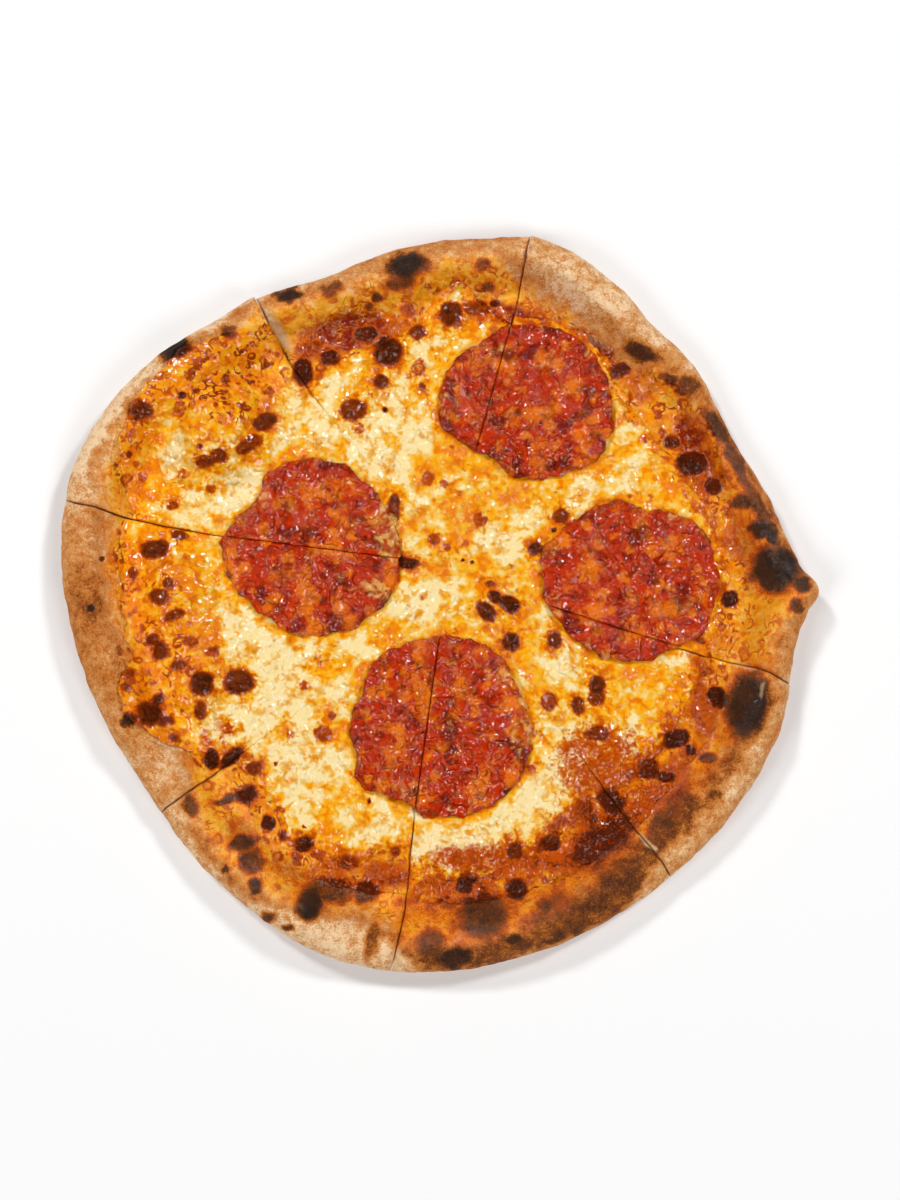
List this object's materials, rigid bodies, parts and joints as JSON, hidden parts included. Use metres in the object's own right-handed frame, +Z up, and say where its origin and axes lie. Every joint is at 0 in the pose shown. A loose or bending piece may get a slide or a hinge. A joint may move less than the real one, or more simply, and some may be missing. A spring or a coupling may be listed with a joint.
{
  "type": "diavola pizza",
  "caption": "Round thin pizza with a puffed, charred rim, tomato sauce, melted cheese and big spicy salami slices, cut into slices that still lie together.",
  "frame": {"origin": "on the surface that the pizza rests on, under the middle of its bounding box", "axes": "+Z up out of the toppings, +X to the right and +Y away from the viewer as the picture shows the pizza"},
  "size_m": [0.3198, 0.3146, 0.0228],
  "materials": {
    "dough": "matte baked crust, floury and charred in places",
    "sauce": "wet, oily",
    "cheese": "melted, oily sheen with browned blisters",
    "salami": "oily, pebbled"
  },
  "bodies": {
    "root": {"slice_1_dough": "dough", "slice_1_sauce": "sauce", "slice_1_cheese": "cheese", "slice_1_salami_a": "salami", "slice_2_dough": "dough", "slice_2_sauce": "sauce", "slice_2_cheese": "cheese", "slice_2_salami_b": "salami", "slice_3_dough": "dough", "slice_3_sauce": "sauce", "slice_3_cheese": "cheese", "slice_3_salami_b": "salami", "slice_4_dough": "dough", "slice_4_sauce": "sauce", "slice_4_cheese": "cheese", "slice_4_salami_d": "salami", "slice_5_dough": "dough", "slice_5_sauce": "sauce", "slice_5_cheese": "cheese", "slice_5_salami_d": "salami", "slice_6_dough": "dough", "slice_6_sauce": "sauce", "slice_6_cheese": "cheese", "slice_6_salami_c": "salami", "slice_7_dough": "dough", "slice_7_sauce": "sauce", "slice_7_cheese": "cheese", "slice_7_salami_a": "salami", "slice_7_salami_c": "salami"}
  },
  "joints": []
}
